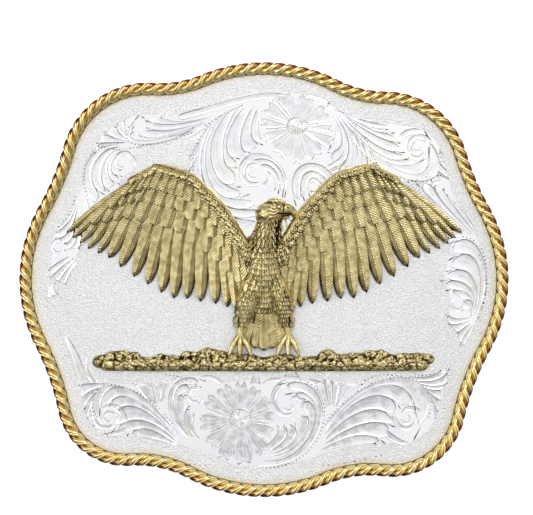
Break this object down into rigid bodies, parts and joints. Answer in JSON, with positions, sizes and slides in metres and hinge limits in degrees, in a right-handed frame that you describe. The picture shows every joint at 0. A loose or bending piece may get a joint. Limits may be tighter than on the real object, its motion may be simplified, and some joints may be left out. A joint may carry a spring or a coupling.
{
  "type": "western belt buckle",
  "caption": "Scalloped western trophy buckle with a twisted rope edge, acanthus scrollwork, a cast eagle overlay, and a belt loop and hook on its back.",
  "frame": {"origin": "centre of the underside, on the surface that the buckle lies on", "axes": "+X along the belt towards the belt loop, +Y up the worn buckle, +Z out of its face"},
  "size_m": [0.101, 0.089, 0.0158],
  "materials": {
    "silver_face": "silver plate, frosted ground with bright-cut scrollwork",
    "gold_rope": "polished gold plate, darkened in the lay of the strands",
    "antique_gold": "antiqued gold plate, blackened recesses and rubbed high spots",
    "nickel_wire": "satin nickel plate"
  },
  "bodies": {
    "root": {"plate": "silver_face", "rope_edge": "gold_rope", "eagle_overlay": "antique_gold", "belt_loop": "nickel_wire", "belt_hook": "nickel_wire"}
  },
  "joints": []
}
